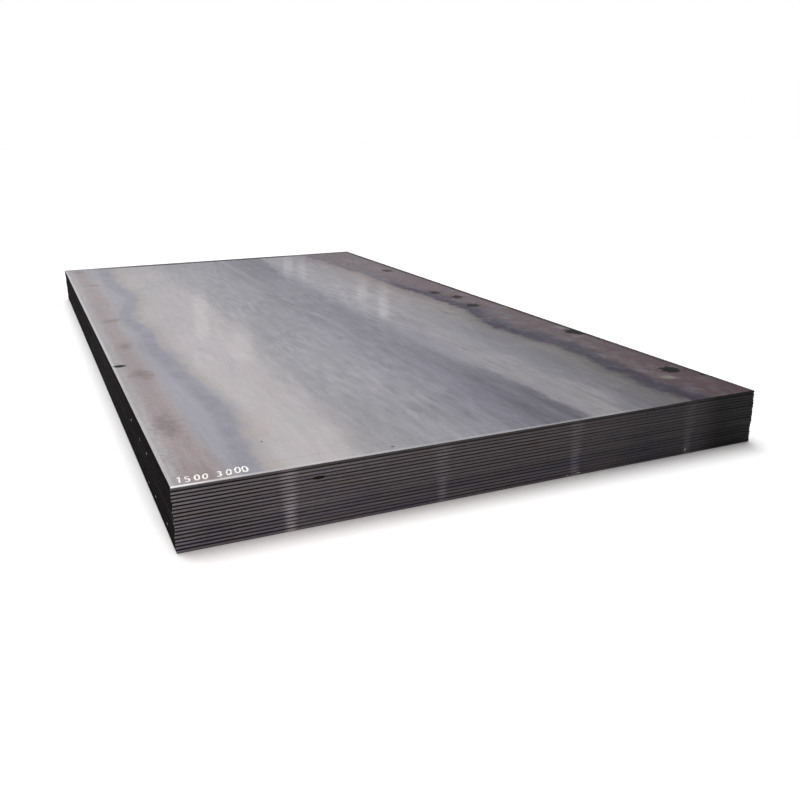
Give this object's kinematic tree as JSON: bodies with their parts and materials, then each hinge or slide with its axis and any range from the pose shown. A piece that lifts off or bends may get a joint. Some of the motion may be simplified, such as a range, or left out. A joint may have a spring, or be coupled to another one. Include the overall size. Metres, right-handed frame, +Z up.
{
  "type": "steel plate pack",
  "caption": "Flat pack of hot-rolled steel plates lying on one another, with rounded mill edges along the sides and sheared ends.",
  "frame": {"origin": "centre of the pack's footprint, on the underside of the lowest plate", "axes": "+Y along the rolling direction, away from the end that the camera sees; +X to the right across the plates; +Z up"},
  "size_m": [1.5032, 3.0032, 0.142],
  "materials": {
    "mill_scale_steel": "dense blue-grey mill scale with a dull metallic shine, streaked along the rolling direction; bare sheared steel on the ends"
  },
  "bodies": {
    "root": {"plate_01": "mill_scale_steel", "plate_02": "mill_scale_steel", "plate_03": "mill_scale_steel", "plate_04": "mill_scale_steel", "plate_05": "mill_scale_steel", "plate_06": "mill_scale_steel", "plate_07": "mill_scale_steel", "plate_08": "mill_scale_steel", "plate_09": "mill_scale_steel", "plate_10": "mill_scale_steel", "plate_11": "mill_scale_steel", "plate_12": "mill_scale_steel", "plate_13": "mill_scale_steel", "plate_14": "mill_scale_steel", "plate_15": "mill_scale_steel", "plate_16": "mill_scale_steel", "plate_17": "mill_scale_steel", "plate_18": "mill_scale_steel"}
  },
  "joints": []
}
